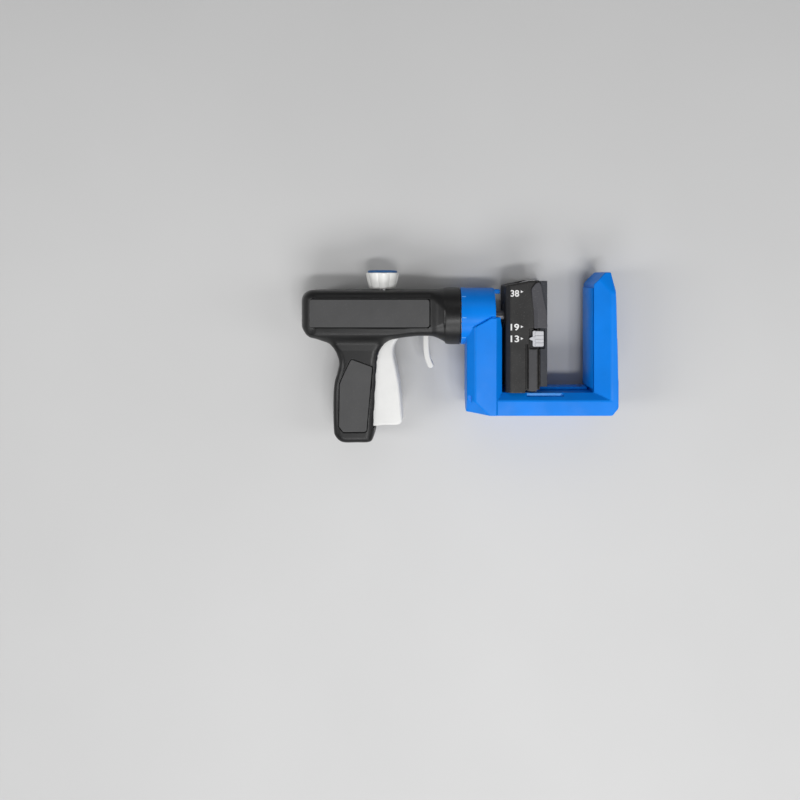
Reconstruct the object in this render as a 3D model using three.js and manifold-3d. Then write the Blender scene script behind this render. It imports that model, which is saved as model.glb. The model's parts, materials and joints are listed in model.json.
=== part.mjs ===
// A hand clamp joiner: a pistol-grip housing pushes a drill-guide block along a C-frame and
// clamps a board against the frame's far arm. Millimetres, +Z up. The tool lies on its side.
// All parts are placed in the tool's own axes, and the last lines move them to the resting frame:
// x runs along the ram towards the anvil, y from the grip up to the knob, z from side to side.
import * as THREE from 'three';
import { mergeVertices } from 'three/addons/utils/BufferGeometryUtils.js';
import Module from 'manifold-3d';

const wasm = await Module();
wasm.setup();

// ---- Driving dimensions -------------------------------------------------------------------
const HALF_THICK = 27;          // the frame, hub and side panels all reach this far each way
const REAR_X = -125;            // back end of the barrel
const ANVIL_OUT_X = 168;        // outer edge of the far arm
const GRIP_END_Y = -119.3;      // bottom of the grip
const KNOB_TOP_Y = 43.5;        // top of the force knob's cap
const GAP = 0.3;                // clearance between neighbouring pieces

const barrel = { low: -17.4, high: 24.6, side: 26.4, flatEnd: -4, noseX: 24.3, noseR: 26.4 };
const cavity = { rear: -119, front: 3, low: -13.5, high: 20.5, side: 21 };
const leverSlot = 13.7;         // half width of the slot that the lever swings in
const ram = { r: 5, tail: -116, tip: 68 };
const hub = { r: 27, rear: 24.8, front: 56.6, bore: 20.3, lipR: 17.4, lipX: 47.8, counterR: 21.5 };
const spigot = { r: 17, bore: 9.3, flangeR: 19.5, flangeX: [10, 15.6], end: 54 };
const detent = { ring: 22.7, ballR: 2, stops: 8, ballX: 22.7, springX: [12.8, 20.4] };
const slideDetent = { y: 25, ballR: 2, ballX: 77.3, springX: [70.3, 75], holeX: [70, 82] };
const frame = {
  armBack: 30, armFront: 62.6, faceFront: 57.3, wall: 20, spine: 10,
  barTop: -69.4, faceTop: -75.7, barLow: -89.5, anvil: 147, anvilFace: 162, top: 41.5,
};
const rail = { half: 6, top: -66.5, x: [66, 144] };
const block = { back: 65.7, channel: 79.2, wallEnd: 96.6, front: 103.3, side: 25, inner: 19.7, low: -69 };
const guide = { back: 79.5, front: 102.8, half: 19.3, low: -45, high: 31, tilt: 15, bushZ: 9.5 };
const lever = { pivot: [-33, -10], half: 13, pocket: 10.3 };
const trigger = { pivot: [-7.5, -14], half: 5.5 };
const drivePlate = { x: [-27, -24] };
const brakePlate = { pivot: [-5, 14], thick: 3, restTilt: 3 };
const knob = { x: -49, base: 25.6, rim: 39.3, baseR: 12.5, rimR: 16 };
const screwSpots = [[-107, 12.5], [-62, 12.5], [-15, 13], [-88, -17.5], [-77, -29], [-74, -112]];

// ---- Colours ------------------------------------------------------------------------------
const FINISH = {
  housing: { color: 0x202022, roughness: 0.5, metalness: 0 },
  rubber: { color: 0x4a4a4b, roughness: 0.9, metalness: 0 },
  blue: { color: 0x0a6fd6, roughness: 0.4, metalness: 0 },
  white: { color: 0xe4e4e2, roughness: 0.5, metalness: 0 },
  block: { color: 0x36363a, roughness: 0.7, metalness: 0 },
  pad: { color: 0x44464c, roughness: 0.9, metalness: 0 },
  steel: { color: 0xb8b8ba, roughness: 0.3, metalness: 1 },
  darkSteel: { color: 0x6a6a6c, roughness: 0.4, metalness: 1 },
  bronze: { color: 0xb08d57, roughness: 0.4, metalness: 1 },
  acetal: { color: 0xdcdccf, roughness: 0.5, metalness: 0 },
};

// ---- Solids -------------------------------------------------------------------------------
function solid(geometry) {
  const plain = geometry.clone();
  plain.deleteAttribute('normal');
  plain.deleteAttribute('uv');
  const merged = mergeVertices(plain, 1e-4);
  const vertProperties = Float32Array.from(merged.attributes.position.array);
  const triVerts = Uint32Array.from(merged.index.array);
  const made = new wasm.Manifold(new wasm.Mesh({ numProp: 3, vertProperties, triVerts }));
  if (made.volume() >= 0) return made;
  for (let i = 0; i < triVerts.length; i += 3) {
    [triVerts[i], triVerts[i + 1]] = [triVerts[i + 1], triVerts[i]];
  }
  return new wasm.Manifold(new wasm.Mesh({ numProp: 3, vertProperties, triVerts }));
}

const join = (first, ...others) => others.reduce((sum, next) => sum.add(next), first);
const cut = (first, ...others) => others.reduce((rest, next) => rest.subtract(next), first);

function piece(name, body, finish) {
  const mesh = body.getMesh();
  const geometry = new THREE.BufferGeometry();
  geometry.setAttribute('position', new THREE.BufferAttribute(mesh.vertProperties, 3));
  geometry.setIndex(new THREE.BufferAttribute(mesh.triVerts, 1));
  geometry.computeVertexNormals();
  const made = new THREE.Mesh(geometry, new THREE.MeshStandardMaterial(FINISH[finish]));
  made.name = name;
  return made;
}

function box(x, y, z) {
  const made = new THREE.BoxGeometry(x[1] - x[0], y[1] - y[0], z[1] - z[0]);
  made.translate((x[0] + x[1]) / 2, (y[0] + y[1]) / 2, (z[0] + z[1]) / 2);
  return solid(made);
}

// A flat outline in x and y, carried from one z to another.
function prism(points, z) {
  const shape = new THREE.Shape(points.map(([x, y]) => new THREE.Vector2(x, y)));
  const made = new THREE.ExtrudeGeometry(shape, { depth: z[1] - z[0], bevelEnabled: false });
  made.translate(0, 0, z[0]);
  return solid(made);
}

// A profile of [radius, place] points turned about the x, y or z axis through a centre.
function turned(profile, axis, centre = [0, 0, 0], sides = 24) {
  const made = new THREE.LatheGeometry(profile.map(([r, h]) => new THREE.Vector2(r, h)), sides);
  if (axis === 'x') made.rotateZ(-Math.PI / 2);
  if (axis === 'z') made.rotateX(Math.PI / 2);
  made.translate(...centre);
  return solid(made);
}

const rod = (r, span, axis, centre, sides) =>
  turned([[0, span[0]], [r, span[0]], [r, span[1]], [0, span[1]]], axis, centre, sides);

const tube = (r, bore, span, axis, centre, sides) =>
  turned([[bore, span[0]], [r, span[0]], [r, span[1]], [bore, span[1]], [bore, span[0]]],
    axis, centre, sides);

// A skin through closed rings of equal count, closed by a fan at each end.
function loft(rings) {
  const count = rings[0].length;
  const index = [];
  for (let ring = 0; ring + 1 < rings.length; ring += 1) {
    for (let i = 0; i < count; i += 1) {
      const a = ring * count + i;
      const b = ring * count + (i + 1) % count;
      index.push(a, b, b + count, a, b + count, a + count);
    }
  }
  const last = (rings.length - 1) * count;
  for (let i = 1; i + 1 < count; i += 1) {
    index.push(0, i + 1, i, last, last + i, last + i + 1);
  }
  const made = new THREE.BufferGeometry();
  made.setAttribute('position', new THREE.Float32BufferAttribute(rings.flat(2), 3));
  made.setIndex(index);
  return solid(made);
}

// A rounded section: |a|^n + |b|^n = 1, from a box with soft corners (n = 5) to a circle (n = 2).
function roundedRing(count, n, place) {
  const ring = [];
  for (let i = 0; i < count; i += 1) {
    const angle = (i + 0.5) / count * 2 * Math.PI;
    const [c, s] = [Math.cos(angle), Math.sin(angle)];
    const reach = (Math.abs(c) ** n + Math.abs(s) ** n) ** (-1 / n);
    ring.push(place(c * reach, s * reach));
  }
  return ring;
}

class Coil extends THREE.Curve {
  constructor(radius, turns, length) {
    super();
    Object.assign(this, { radius, turns, length });
  }

  getPoint(t, target = new THREE.Vector3()) {
    const angle = t * this.turns * 2 * Math.PI;
    return target.set(this.radius * Math.cos(angle), t * this.length, this.radius * Math.sin(angle));
  }
}

// A compression spring that starts at the origin of its axis and runs along it.
function spring(radius, wire, turns, span, axis, centre = [0, 0, 0]) {
  const section = new THREE.Shape(new THREE.Path().absarc(0, 0, wire, 0, 2 * Math.PI).getPoints(2));
  const length = span[1] - span[0] - 2 * wire;
  const path = new Coil(radius, turns, length);
  const made = new THREE.ExtrudeGeometry(section, { steps: turns * 8, extrudePath: path });
  made.translate(0, span[0] + wire, 0);
  if (axis === 'x') made.rotateZ(-Math.PI / 2);
  made.translate(...centre);
  return solid(made);
}

// ---- Housing: two shells that meet on z = 0 -----------------------------------------------
function barrelBody() {
  const stations = [
    [REAR_X, 0.72, 5], [REAR_X + 2.5, 0.86, 5], [REAR_X + 7, 0.96, 5], [REAR_X + 14, 1, 5],
    [barrel.flatEnd, 1, 5],
  ];
  const middle = (barrel.low + barrel.high) / 2;
  const half = (barrel.high - barrel.low) / 2;
  const rings = stations.map(([x, grow, n]) =>
    roundedRing(28, n, (a, b) => [x, middle + a * half * grow, b * barrel.side * grow]));
  const nose = [[6, 0.45, 3], [14, 0.75, 2.4], [barrel.noseX, 1, 2]];
  nose.forEach(([x, blend, n]) => {
    const centre = middle * (1 - blend);
    const tall = half + (barrel.noseR - half) * blend;
    rings.push(roundedRing(28, n, (a, b) => [x, centre + a * tall, b * barrel.side]));
  });
  return loft(rings);
}

// The grip's sections from its web under the barrel to its end: height, back, front, half width.
const gripSections = [
  [-15, -113, -27, 23], [-20.5, -106, -36, 20.5], [-25, -97.6, -44, 18.8], [-31, -92.8, -48.6, 17.6],
  [-43, -88.5, -51.6, 17.2], [-52, -90.2, -52.4, 17.3], [-63, -93.1, -53.2, 17.5],
  [-80, -94, -54.2, 17.5], [-104, -93.5, -55.6, 17.5], [-112, -91.5, -56.4, 16.8],
  [-117, -88, -59, 15], [GRIP_END_Y, -84, -63, 12],
];

function gripBody() {
  return loft(gripSections.map(([y, back, front, half]) => roundedRing(28, 4, (a, b) =>
    [(back + front) / 2 + a * (front - back) / 2, y, b * half])));
}

// The room inside the grip, open to the front, for the lever to swing back into.
function gripRoom() {
  const points = [
    [-27, -12], [-27, -17.5], [-40, -23], [-47, -32], [-40, -36], [-40, -104.5], [-86, -104.5],
    [-88.5, -80], [-86, -60], [-82, -46], [-66, -30], [-58, -12],
  ];
  return prism(points, [-leverSlot, leverSlot]);
}

function roundedBox(x, y, corner) {
  const points = [];
  const centres = [[x[1], y[1], 0], [x[0], y[1], 1], [x[0], y[0], 2], [x[1], y[0], 3]];
  centres.forEach(([cx, cy, quarter]) => {
    const inX = cx === x[0] ? corner : -corner;
    const inY = cy === y[0] ? corner : -corner;
    for (let step = 0; step <= 3; step += 1) {
      const angle = (quarter + step / 3) * Math.PI / 2;
      points.push([cx + inX + corner * Math.cos(angle), cy + inY + corner * Math.sin(angle)]);
    }
  });
  return points;
}

const barrelPanel = { x: [-113.6, -3.6], y: [-9.4, 17], corner: 3, floor: 24.9, face: 27 };
const gripPanel = {
  outline: [[-74.2, -38.4], [-56.8, -45.5], [-61.5, -105.6], [-84.5, -106.8], [-88.2, -100.9],
    [-87.2, -62], [-82.5, -51.3]],
  floor: 15.9,
  face: 17.9,
};

function shrink(points, amount) {
  const centre = points.reduce((sum, [x, y]) => [sum[0] + x, sum[1] + y], [0, 0])
    .map((total) => total / points.length);
  return points.map(([x, y]) => {
    const away = Math.hypot(x - centre[0], y - centre[1]);
    const keep = (away - amount) / away;
    return [centre[0] + (x - centre[0]) * keep, centre[1] + (y - centre[1]) * keep];
  });
}

function housing() {
  const rearRoom = box([cavity.rear, cavity.front], [cavity.low, cavity.high], [-cavity.side, cavity.side]);
  const bulkhead = box([-80, -70], [cavity.low - 1, cavity.high + 1], [-cavity.side - 1, cavity.side + 1]);
  const room = cut(rearRoom, bulkhead);
  const shell = cut(join(barrelBody(), gripBody()), room, gripRoom(),
    rod(11 + GAP, [-79.4, -70.6], 'x'), rod(ram.r + 0.6, [-121, 20], 'x'), rod(12.5, [2, 11], 'x'),
    rod(spigot.flangeR + GAP, [9.7, 16], 'x'), rod(spigot.r + GAP, [15, 30], 'x', undefined, 32));
  const bosses = screwSpots.map(([x, y]) => rod(4, [-22, 22], 'z', [x, y, 0], 14));
  const leverBoss = rod(5, [-22, 22], 'z', [...lever.pivot, 0], 20);
  const triggerBoss = rod(3.4, [-22, 22], 'z', [...trigger.pivot, 0], 16);
  const leverGap = rod(7, [-leverSlot, leverSlot], 'z', [...lever.pivot, 0], 20);
  const triggerGap = box([-13.5, 2], [-30, -8], [-6, 6]);
  const boxes = [
    leverGap, triggerGap, gripRoom(),
    box([-44, -18], [-19, 12], [-leverSlot, leverSlot]),
    rod(2 + GAP, [-17.3, 17.3], 'z', [...lever.pivot, 0], 16),
    rod(1.5 + GAP, [-13.3, 13.3], 'z', [...trigger.pivot, 0], 12),
    rod(3 + 0.6, [10, 30], 'y', [knob.x, 0, 0], 16),
  ];
  const holes = screwSpots.flatMap(([x, y]) => [
    rod(1.5 + GAP, [-30, 14], 'z', [x, y, 0], 10), rod(3 + GAP, [-30, -8], 'z', [x, y, 0], 14),
  ]);
  const flat = barrelPanel;
  const pockets = [1, -1].flatMap((side) => [
    prism(roundedBox(flat.x, flat.y, flat.corner), side > 0 ? [flat.floor, 30] : [-30, -flat.floor]),
    prism(gripPanel.outline, side > 0 ? [gripPanel.floor, 30] : [-30, -gripPanel.floor]),
  ]);
  const ball = detent.ring / Math.SQRT2;
  const detentHole = rod(detent.ballR + GAP, [12.5, 26], 'x', [0, ball, ball], 12);
  const inside = join(barrelBody(), gripBody());
  const whole = cut(join(shell, ...[...bosses, leverBoss, triggerBoss].map((boss) => boss.intersect(inside))),
    ...boxes, ...holes, ...pockets, detentHole);
  const halfRoom = (z) => box([-200, 200], [-200, 200], z);
  return [
    piece('housing_right', largest(whole.intersect(halfRoom([GAP / 2, 60]))), 'housing'),
    piece('housing_left', largest(whole.intersect(halfRoom([-60, -GAP / 2]))), 'housing'),
  ];
}

// The main body of a cut solid, without slivers that a cut has freed.
function largest(body) {
  return body.decompose().sort((a, b) => b.volume() - a.volume())[0];
}

function panels() {
  const made = [];
  [['right', 1], ['left', -1]].forEach(([side, sign]) => {
    const flat = barrelPanel;
    const span = (floor, face) => (sign > 0 ? [floor + GAP, face] : [-face, -floor - GAP]);
    const inset = roundedBox([flat.x[0] + GAP, flat.x[1] - GAP], [flat.y[0] + GAP, flat.y[1] - GAP],
      flat.corner - GAP);
    made.push(piece(`barrel_panel_${side}`, prism(inset, span(flat.floor, flat.face)), 'rubber'));
    made.push(piece(`grip_panel_${side}`,
      prism(shrink(gripPanel.outline, 0.5), span(gripPanel.floor, gripPanel.face)), 'rubber'));
  });
  return made;
}

function housingScrews() {
  return screwSpots.map(([x, y], i) => piece(`housing_screw_${i + 1}`,
    turned([[0, -11.5], [3, -11.5], [3, -8.3], [1.5, -8.3], [1.5, 13.5], [0, 13.5]],
      'z', [x, y, 0], 12), 'steel'));
}

// ---- Nose: the fixed spigot that the frame's hub turns on ---------------------------------
function nose() {
  const grooveR = 15.5;
  const body = turned([
    [spigot.bore, spigot.flangeX[0]], [spigot.flangeR, spigot.flangeX[0]],
    [spigot.flangeR, spigot.flangeX[1]], [spigot.r, spigot.flangeX[1]], [spigot.r, 50.5],
    [grooveR, 50.5], [grooveR, 52.6], [spigot.r, 52.6], [spigot.r, spigot.end],
    [spigot.bore, spigot.end], [spigot.bore, spigot.flangeX[0]],
  ], 'x', undefined, 32);
  const ball = detent.ring / Math.SQRT2;
  return [
    piece('nose_spigot', body, 'acetal'),
    piece('retaining_ring', tube(19.9, grooveR + GAP, [50.8, 52.3], 'x', undefined, 32), 'darkSteel'),
    piece('front_bush', tube(spigot.bore - GAP, ram.r + GAP, [42, 53.8], 'x'), 'bronze'),
    piece('rear_bush', tube(11, ram.r + GAP, [-79, -71], 'x'), 'bronze'),
    piece('detent_ball', solid(new THREE.SphereGeometry(detent.ballR, 10, 6)
      .translate(detent.ballX, ball, ball)), 'steel'),
    piece('detent_spring', spring(1.45, 0.35, 4, detent.springX, 'x', [0, ball, ball]), 'steel'),
  ];
}

// ---- Head: C-frame with its hub, liner, index plate, rail and anvil pad --------------------
function cFrame() {
  const f = frame;
  const spine = prism([
    [f.armBack, 0], [f.armBack, f.barLow + 1], [f.armBack + 1, f.barLow], [ANVIL_OUT_X - 3, f.barLow],
    [ANVIL_OUT_X, f.barLow + 4], [ANVIL_OUT_X - 2.4, 23], [ANVIL_OUT_X - 5.4, f.top],
    [157, f.top], [f.anvil, 28], [f.anvil, f.barTop], [f.armFront, f.barTop], [f.armFront, 0],
  ], [-f.spine, f.spine]);
  const outer = (grow) => [
    [f.armBack + 7.5 * grow, -18 + 4 * grow], [f.armBack + 7.5 * grow, -68 - 2 * grow],
    [f.armBack + 19 + 2.2 * grow, f.barLow], [ANVIL_OUT_X - 6, f.barLow],
    [ANVIL_OUT_X, f.barLow + 6], [ANVIL_OUT_X - 2.4, 23 - 8 * grow],
    [ANVIL_OUT_X - 5.4, f.top - 12 * grow], [157 + 4 * grow, f.top - 12 * grow],
    [f.anvil + 6 * grow, 28 - 6 * grow], [f.anvil, 0], [f.armFront, 0], [53, 0],
  ];
  const level = (points, z) => points.map(([x, y]) => [x, y, z]);
  const slab = loft([
    level(outer(1), -HALF_THICK), level(outer(0), -f.wall), level(outer(0), f.wall),
    level(outer(1), HALF_THICK),
  ]);
  const mouth = (x, low) => [[x[0], low], [x[1], low], [x[1], 60], [x[0], 60]];
  const opening = [1, -1].map((side) => loft([
    level(mouth([f.armFront, f.anvil], f.barTop), side * f.wall),
    level(mouth([f.faceFront - 0.4, f.anvilFace + 0.8], f.faceTop - 0.4), side * (HALF_THICK + 0.4)),
  ]));
  const through = prism(mouth([f.armFront, f.anvil], f.barTop), [-f.wall - 1, f.wall + 1]);
  const hubBody = rod(hub.r, [hub.rear, hub.front], 'x', undefined, 32);
  const bores = [
    rod(hub.bore, [hub.rear - 1, hub.lipX], 'x', undefined, 32),
    rod(hub.lipR, [hub.rear, hub.front + 9], 'x', undefined, 32),
    rod(hub.counterR, [hub.lipX + 2.4, hub.front + 9], 'x', undefined, 32),
    rod(25.4, [hub.rear - 1, hub.rear + 1.8], 'x', undefined, 32),
  ];
  const screwHoles = railScrewX.map((x) => rod(1.5 + GAP, [-82, -60], 'y', [x, 0, 0], 12));
  const body = cut(join(cut(slab, ...opening, through), spine), through);
  return largest(cut(join(body, hubBody), ...bores, ...screwHoles));
}

const railScrewX = [74, 138];

function indexPlate() {
  const ring = tube(25, hub.bore + 0.2, [hub.rear, hub.rear + 1.5], 'x', undefined, 32);
  const notches = [];
  for (let i = 0; i < detent.stops; i += 1) {
    const angle = (i + 0.5) / detent.stops * 2 * Math.PI;
    notches.push(rod(2.05, [hub.rear - 2, hub.rear + 4], 'x',
      [0, detent.ring * Math.cos(angle + Math.PI / 8), detent.ring * Math.sin(angle + Math.PI / 8)], 12));
  }
  return cut(ring, ...notches);
}

function head() {
  const railBody = box(rail.x, [frame.barTop + GAP, rail.top], [-rail.half, rail.half]);
  const sinks = railScrewX.flatMap((x) => [
    rod(1.5 + GAP, [-82, -60], 'y', [x, 0, 0], 12), rod(2.8 + GAP, [-67.6, -60], 'y', [x, 0, 0], 12),
  ]);
  const screw = (x) => turned([
    [0, -80], [1.5, -80], [1.5, -67.3], [2.8, -67.3], [2.8, rail.top - 0.2], [0, rail.top - 0.2],
  ], 'y', [x, 0, 0], 12);
  return [
    piece('c_frame', cFrame(), 'blue'),
    piece('hub_bush', tube(hub.bore - GAP, spigot.r + GAP, [27, 47.4], 'x', undefined, 32), 'acetal'),
    piece('index_plate', indexPlate(), 'darkSteel'),
    piece('frame_rail', cut(railBody, ...sinks), 'blue'),
    ...railScrewX.map((x, i) => piece(`rail_screw_${i + 1}`, screw(x), 'darkSteel')),
    piece('anvil_pad', box([144, frame.anvil - GAP], [-64, 25], [-18.5, 18.5]), 'blue'),
  ];
}

// ---- Ram: the rod that the lever feeds forward --------------------------------------------
function ramPieces() {
  return [
    piece('ram_rod', rod(ram.r, [ram.tail, ram.tip], 'x'), 'darkSteel'),
    piece('ram_tip', rod(9, [ram.tip + GAP, ram.tip + 3.2], 'x'), 'darkSteel'),
    piece('ram_collar', tube(8, ram.r + GAP, [ram.tail, ram.tail + 4], 'x'), 'darkSteel'),
  ];
}

// ---- Carriage: the drill-guide block on the frame's rail ----------------------------------
function guideBlock() {
  const b = block;
  const side = (inset) => [
    [b.back + inset, 28.7 - inset], [b.back + inset, b.low], [84, b.low], [84, -66.5], [b.wallEnd, -66.5],
    [b.wallEnd, 33.5 - inset], [88, 33.5 - inset],
  ];
  const level = (points, z) => points.map(([x, y]) => [x, y, z]);
  const body = loft([
    level(side(4), -b.side), level(side(0), -b.side + 5), level(side(0), b.side - 5), level(side(4), b.side),
  ]);
  const channel = box([b.channel, 120], [-60, 60], [-b.inner, b.inner]);
  const slot = box([91.2, 94.4], [-24, 26], [15, 30]);
  const shoeRoom = box([b.back - 1, 120], [-80, -63.7], [-12.3, 12.3]);
  const keeperRoom = rod(12.3, [b.back - 1, 71.6], 'x');
  const detentHole = rod(slideDetent.ballR + GAP, slideDetent.holeX, 'x', [0, slideDetent.y, 0], 12);
  return cut(body, channel, slot, shoeRoom, keeperRoom, detentHole);
}

function facePad(sign) {
  const span = sign > 0 ? [block.inner, block.side] : [-block.side, -block.inner];
  return box([block.wallEnd + GAP, block.front], [-63, 33.4], span);
}

function railShoe() {
  const outer = box([block.back + 2, 96], [block.low, -64], [-12, 12]);
  return cut(outer, box([0, 120], [-80, rail.top + GAP], [-rail.half - GAP, rail.half + GAP]));
}

function carriage() {
  return [
    piece('guide_block', guideBlock(), 'block'),
    piece('face_pad_right', facePad(1), 'pad'),
    piece('face_pad_left', facePad(-1), 'pad'),
    piece('rail_shoe', railShoe(), 'acetal'),
    piece('ram_keeper', tube(12, ram.r + 0.4, [block.back + 0.1, 68], 'x'), 'darkSteel'),
    piece('slide_detent_ball', solid(new THREE.SphereGeometry(slideDetent.ballR, 10, 6)
      .translate(slideDetent.ballX, slideDetent.y, 0)), 'steel'),
    piece('slide_detent_spring',
      spring(1.45, 0.35, 3, slideDetent.springX, 'x', [0, slideDetent.y, 0]), 'steel'),
  ];
}

// ---- Drill guide: slides up the block for thicker boards ----------------------------------
const stopHeights = [0, 10.8, 42.4];
const lean = guide.tilt * Math.PI / 180;

// A cylinder that leans with the drill, from just above the guide's top downwards.
function leaningRod(r, span, z) {
  const made = new THREE.CylinderGeometry(r, r, span[1] - span[0], 20);
  made.translate(0, -(span[0] + span[1]) / 2, 0);
  made.rotateZ(lean);
  made.translate(88.5, guide.high, z);
  return solid(made);
}

// The cover that leans with the drill above the slider and rises with it.
const coverOutline = [
  [90.2, -9.2], [102.8, -9.2], [102.8, 2.6], [96.7, 31.1], [93.2, 31.6], [88.5, 25.4], [90.2, 12],
];

function drillGuide() {
  const g = guide;
  const body = prism([[g.back, g.low], [g.front, g.low], [g.front, 3], [97.2, g.high], [g.back, g.high]],
    [-g.half, g.half]);
  const bushR = 6.4;
  const tooFar = box([g.front, 140], [-80, 80], [-30, 30]);
  const bores = [g.bushZ, -g.bushZ].map((z) => leaningRod(bushR + GAP, [-5, 90], z));
  const notches = stopHeights.map((height) => rod(2.4, [g.back - 1, g.back + 1.2], 'x', [0, 25 - height, 0], 12));
  const slider = join(
    prism(roundedBox([89.9, 99.6], [-26.2, -12.2], 1.2), [25.4, HALF_THICK]),
    prism([[90.5, -17.6], [90.5, -20.8], [87.4, -19.6], [87.4, -18.8]], [25.4, HALF_THICK]),
    box([91.5, 94.1], [-22.8, -16.9], [g.half + GAP, 26]));
  const cover = prism(coverOutline, [block.side + GAP, HALF_THICK - GAP]);
  return [
    piece('guide_slide', largest(cut(body, ...bores, ...notches)), 'block'),
    ...[g.bushZ, -g.bushZ].map((z, i) => piece(`drill_bush_${i + 1}`,
      largest(cut(leaningRod(bushR, [-2, 70], z), leaningRod(4.8, [-5, 90], z), tooFar)), 'steel')),
    piece('thickness_slider', slider, 'white'),
    piece('guide_cover', cover, 'pad'),
  ];
}

// ---- Squeeze lever, drive plate, brake and release trigger --------------------------------
function squeezeLever() {
  const outline = [
    [-28.9, -12], [-30, -18], [-34.5, -22.4], [-36.4, -28.1], [-36.1, -35.3], [-34, -41.8],
    [-32.1, -51.4], [-30, -75.6], [-29.2, -97], [-30.4, -99.9], [-32.8, -101], [-61, -101],
    [-59, -60], [-57, -39], [-53.4, -30], [-46.5, -22], [-37.5, -11],
  ];
  const pocket = [
    [-41, -30], [-39.5, -42], [-36.5, -52], [-34, -76], [-33, -97], [-70, -97], [-70, -26], [-50, -26],
  ];
  const body = cut(prism(outline, [-lever.half, lever.half]), prism(pocket, [-lever.pocket, lever.pocket]));
  const boss = rod(4.3, [-lever.half, lever.half], 'z', [...lever.pivot, 0], 20);
  const fork = prism([[-37, -11], [-30, -11], [-27.4, -1], [-27.4, 5], [-31, 5], [-36.4, -4]],
    [-lever.half + 2.5, lever.half - 2.5]);
  const rodRoom = box([-60, 0], [-5.7, 20], [-6.4, 6.4]);
  return cut(join(body, boss, cut(fork, rodRoom)),
    rod(2 + GAP, [-30, 30], 'z', [...lever.pivot, 0], 16));
}

function plate(x, y, half, bore) {
  return cut(box(x, y, [-half, half]), rod(bore, [x[0] - 1, x[1] + 1], 'x'));
}

// The finger hangs straight down, then curves forward to a round tip.
function releaseTrigger() {
  const front = [];
  const back = [];
  const count = 7;
  for (let i = 0; i <= count; i += 1) {
    const t = i / count;
    const y = -17 - 29.5 * t;
    const bend = 4.2 * Math.max(0, t - 0.45) ** 1.4 / 0.55 ** 1.4;
    back.push([-10 + bend, y]);
    front.push([-4.4 + bend, y - 1.2 * t]);
  }
  const tip = [[-1.4, -49], [-3.4, -49.6], [-5.2, -48.6]];
  const finger = prism([[-10, -13], ...back, ...tip.reverse(), ...front.reverse(), [-4.8, -13]],
    [-trigger.half, trigger.half]);
  const boss = rod(2.8, [-trigger.half, trigger.half], 'z', [...trigger.pivot, 0], 16);
  const arm = box([-10.3, -8.3], [-13.5, -8.4], [-4, 4]);
  return cut(join(finger, boss, arm), rod(1.5 + GAP, [-30, 30], 'z', [...trigger.pivot, 0], 12));
}

function feed() {
  const [px, py] = brakePlate.pivot;
  const half = brakePlate.thick / 2;
  const brake = piece('brake_plate',
    cut(box([-half, half], [-24.2, 0], [-8, 8]), rod(5.6, [-4, 4], 'x', [0, -py, 0])), 'darkSteel');
  brake.position.set(px, py, 0);
  brake.rotation.z = -brakePlate.restTilt * Math.PI / 180;
  return [
    piece('squeeze_lever', squeezeLever(), 'white'),
    piece('lever_pin', rod(2, [-17, 17], 'z', [...lever.pivot, 0], 16), 'steel'),
    piece('lever_spring', spring(5, 0.6, 5, [-86.5, -38.5], 'x', [0, -66, 0]), 'steel'),
    piece('drive_plate', plate(drivePlate.x, [-9, 12], 9.5, 5.5), 'darkSteel'),
    piece('drive_spring', spring(6.7, 0.6, 3, [-23.6, -10.6], 'x'), 'steel'),
    brake,
    piece('brake_spring', spring(6.7, 0.6, 3, [-2.6, 9.6], 'x'), 'steel'),
    piece('release_trigger', releaseTrigger(), 'white'),
    piece('trigger_pin', rod(1.5, [-13, 13], 'z', [...trigger.pivot, 0], 12), 'steel'),
  ];
}

// ---- Force setting: knob, screw, nut, spring and shoe -------------------------------------
function forceSetting() {
  const at = [knob.x, 0, 0];
  const body = turned([
    [0, knob.base], [knob.baseR, knob.base], [knob.rimR, knob.rim], [knob.rimR - 0.3, knob.rim + 1.2],
    [knob.rimR - 1.2, knob.rim + 1.6], [14.4, knob.rim + 1.6], [14.4, knob.rim], [0, knob.rim],
  ], 'y', at, 32);
  const nut = cut(box([knob.x - 6, knob.x + 6], [13.5, 18], [-5, 5]), rod(3.4, [0, 30], 'y', at, 16));
  return [
    piece('force_knob', body, 'white'),
    piece('knob_cap', turned([[0, knob.rim + GAP], [14.1, knob.rim + GAP], [14.1, 42.6],
      [13, KNOB_TOP_Y], [0, KNOB_TOP_Y]], 'y', at, 32), 'blue'),
    piece('force_screw', rod(3, [11.5, knob.base - GAP], 'y', at, 16), 'steel'),
    piece('force_nut', nut, 'bronze'),
    piece('force_spring', spring(4.4, 0.5, 2, [9.3, 13.2], 'y', at), 'steel'),
    piece('force_shoe', box([knob.x - 5, knob.x + 5], [5.4, 9], [-5, 5]), 'acetal'),
  ];
}

// ---- The tool, laid on its side with its origin under the middle ---------------------------
const tool = new THREE.Group();
tool.add(...housing(), ...panels(), ...housingScrews(), ...nose(), ...head(), ...ramPieces(),
  ...carriage(), ...drillGuide(), ...feed(), ...forceSetting());
tool.position.set(-(REAR_X + ANVIL_OUT_X) / 2, -(GRIP_END_Y + KNOB_TOP_Y) / 2, HALF_THICK);

const joiner = new THREE.Group();
joiner.add(tool);

export default joiner;
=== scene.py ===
"""A hand clamp joiner on a pale floor: moulded shells, a blue C-frame, a drill-guide block and its controls.

Shapes are worked out in the tool's own axes in millimetres (x along the ram, y from grip to knob,
z from side to side, with the ram's axis at y = z = 0) and then set down in the frame's metres.
"""

import json
import math

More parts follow.
